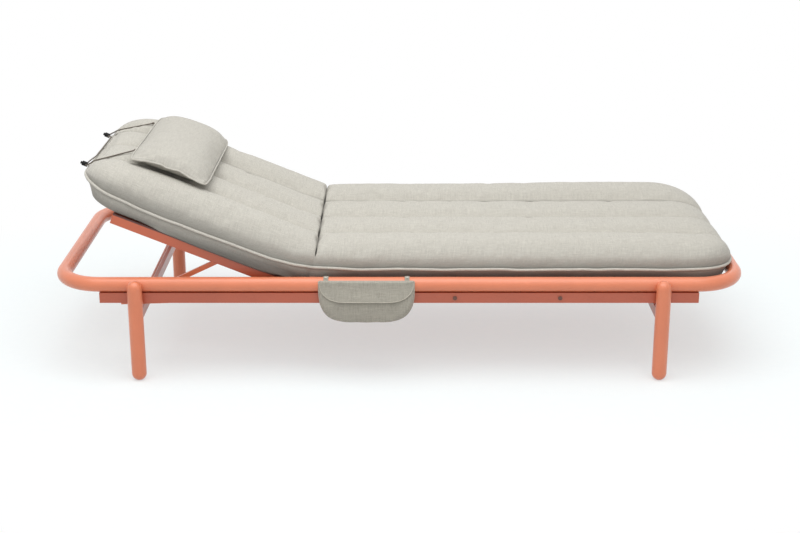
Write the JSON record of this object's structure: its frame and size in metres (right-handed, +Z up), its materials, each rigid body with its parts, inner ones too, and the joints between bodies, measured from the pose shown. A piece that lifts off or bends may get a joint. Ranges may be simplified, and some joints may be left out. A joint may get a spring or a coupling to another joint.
{
  "type": "spa relaxation lounger",
  "caption": "Low spa lounger: tubular ring frame on domed legs, slatted deck, propped reclining back, channelled cushion, tied head pillow and a flap pouch hung on the side rail.",
  "frame": {"origin": "on the floor, below the middle of the ring frame", "axes": "+X runs along the lounger from its head to its foot, +Y from the front rail, which carries the pouch, to the back rail, +Z is up"},
  "size_m": [2, 0.8724, 0.6487],
  "materials": {
    "coral_frame": "satin coral powder coat",
    "bare_steel": "plain zinc-plated steel",
    "cushion_fabric": "warm grey outdoor weave",
    "pouch_fabric": "warm grey outdoor weave",
    "elastic": "dark taupe woven elastic",
    "lock_plastic": "black moulded plastic",
    "bush_plastic": "black moulded plastic",
    "stud_plastic": "beige-grey moulded plastic",
    "dark_screw": "blackened steel screw"
  },
  "bodies": {
    "frame": {"head_bow": "coral_frame", "foot_bow": "coral_frame", "side_rail_front": "coral_frame", "side_rail_back": "coral_frame", "rail_sleeves": "bare_steel", "side_beam_front": "coral_frame", "side_beam_back": "coral_frame", "beam_end_caps": "coral_frame", "leg_head_front": "coral_frame", "leg_head_back": "coral_frame", "leg_foot_front": "coral_frame", "leg_foot_back": "coral_frame", "leg_top_domes": "coral_frame", "leg_foot_domes": "coral_frame", "leg_tie_head": "coral_frame", "leg_tie_foot": "coral_frame", "seat_member_1": "coral_frame", "seat_member_2": "coral_frame", "seat_member_3": "coral_frame", "seat_member_4": "coral_frame", "member_screws": "dark_screw", "seat_slat_1": "coral_frame", "seat_slat_2": "coral_frame", "seat_slat_3": "coral_frame", "seat_slat_4": "coral_frame", "seat_slat_5": "coral_frame", "recline_rack_front": "coral_frame", "recline_rack_back": "coral_frame", "rack_screws": "bare_steel", "hinge_bolts": "bare_steel", "hinge_spacers": "bare_steel", "cushion_seat": "cushion_fabric"},
    "backrest": {"back_side_front": "coral_frame", "back_side_back": "coral_frame", "back_end_caps": "coral_frame", "back_rail_low": "coral_frame", "back_rail_mid": "coral_frame", "back_rail_top": "coral_frame", "back_slat_1": "coral_frame", "back_slat_2": "coral_frame", "back_slat_3": "coral_frame", "back_slat_4": "coral_frame", "back_slat_5": "coral_frame", "hinge_bushes": "bush_plastic", "prop_pins": "coral_frame", "cushion_back": "cushion_fabric", "pillow": "cushion_fabric", "elastic_cord": "elastic", "cord_tabs": "elastic", "cord_lock_barrels": "lock_plastic"},
    "prop": {"prop_arm_front": "coral_frame", "prop_arm_back": "coral_frame", "prop_foot_rod": "coral_frame"},
    "lock_plunger_front": {"cord_lock_plunger_front": "lock_plastic"},
    "lock_plunger_back": {"cord_lock_plunger_back": "lock_plastic"},
    "pouch": {"pouch_body": "pouch_fabric", "pouch_straps": "elastic", "pouch_studs": "stud_plastic"},
    "flap": {"pouch_flap": "pouch_fabric"}
  },
  "joints": [
    {"name": "backrest_hinge", "type": "hinge", "parent": "frame", "child": "backrest", "pos_m": [-0.27, 0, 0.2395], "axis": [0, 1, 0], "range_deg": [-22.2, 27.8]},
    {"name": "prop_pivot", "type": "hinge", "parent": "backrest", "child": "prop", "pos_m": [-0.50887, 0, 0.33698], "axis": [0, 1, 0], "range_deg": [-55.6, 44.4]},
    {"name": "pouch_slide", "type": "slide", "parent": "frame", "child": "pouch", "axis": [1, 0, 0], "range_m": [-0.04, 0.04]},
    {"name": "flap_hinge", "type": "hinge", "parent": "pouch", "child": "flap", "pos_m": [-0.093, -0.4023, 0.2964], "axis": [-1, 0, 0], "range_deg": [0, 130]},
    {"name": "lock_press_front", "type": "slide", "parent": "backrest", "child": "lock_plunger_front", "axis": [0.9259, 0, -0.3778], "range_m": [0, 0.003], "stiffness_N_per_m": 1500, "springref_m": -0.0005},
    {"name": "lock_press_back", "type": "slide", "parent": "backrest", "child": "lock_plunger_back", "axis": [0.9259, 0, -0.3778], "range_m": [0, 0.003], "stiffness_N_per_m": 1500, "springref_m": -0.0005}
  ],
  "couplings": [
    {"joint": "prop_pivot", "follows": "backrest_hinge", "ratio": -2}
  ]
}
